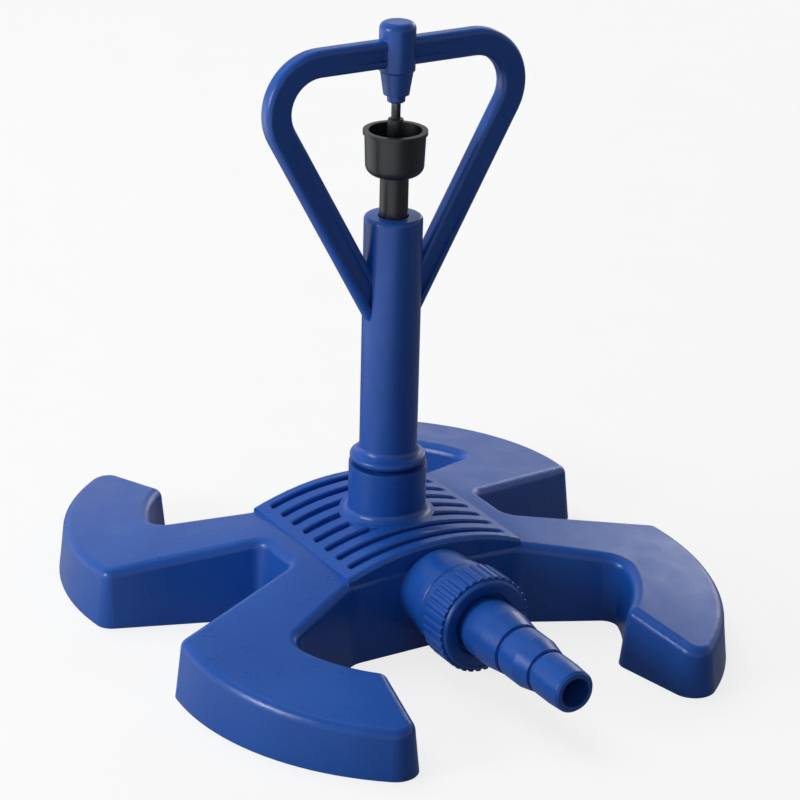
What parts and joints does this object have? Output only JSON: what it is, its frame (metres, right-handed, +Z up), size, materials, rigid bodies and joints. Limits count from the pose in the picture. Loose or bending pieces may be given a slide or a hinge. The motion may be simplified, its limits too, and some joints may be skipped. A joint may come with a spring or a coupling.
{
  "type": "sled base garden sprinkler",
  "caption": "Spinning-cup lawn sprinkler on a moulded sled base: upright tube with a bow and pivot boss, black jet rotor, swivel hose nut and stepped hose tail.",
  "frame": {"origin": "on the ground, on the axis of the upright tube, at the foot of the base's centre post", "axes": "+Z up along the tube, -Y towards the hose inlet, X along the bow"},
  "size_m": [0.1764, 0.2085, 0.1894],
  "materials": {
    "blue_plastic": "moulded, soft gloss",
    "black_plastic": "moulded, satin",
    "black_rubber": "matt",
    "white_acetal": "turned",
    "brass": "turned",
    "dark_steel": "blackened, ground"
  },
  "bodies": {
    "base": {"sled_base": "blue_plastic", "riser_tower": "blue_plastic", "riser_seal_ring": "black_rubber", "stem_bush": "white_acetal", "thrust_washer": "white_acetal", "jet_nozzle": "black_plastic", "pivot_bush": "brass"},
    "rotor": {"rotor": "black_plastic", "spindle_pin": "dark_steel"},
    "tail": {"hose_tail": "blue_plastic", "hose_washer": "black_rubber"},
    "nut": {"coupling_nut": "blue_plastic"}
  },
  "joints": [
    {"name": "rotor_spin", "type": "hinge", "parent": "base", "child": "rotor", "pos_m": [0, 0, 0.14], "axis": [0, 0, 1], "continuous": true},
    {"name": "tail_draw", "type": "slide", "parent": "base", "child": "tail", "axis": [0, -1, 0], "range_m": [0, 0.00908]},
    {"name": "nut_turn", "type": "hinge", "parent": "tail", "child": "nut", "pos_m": [0, -0.052, 0.0176], "axis": [0, -1, 0], "range_deg": [0, 1800]}
  ],
  "couplings": [
    {"joint": "tail_draw", "follows": "nut_turn", "m_per_rad": 0.00028871}
  ]
}
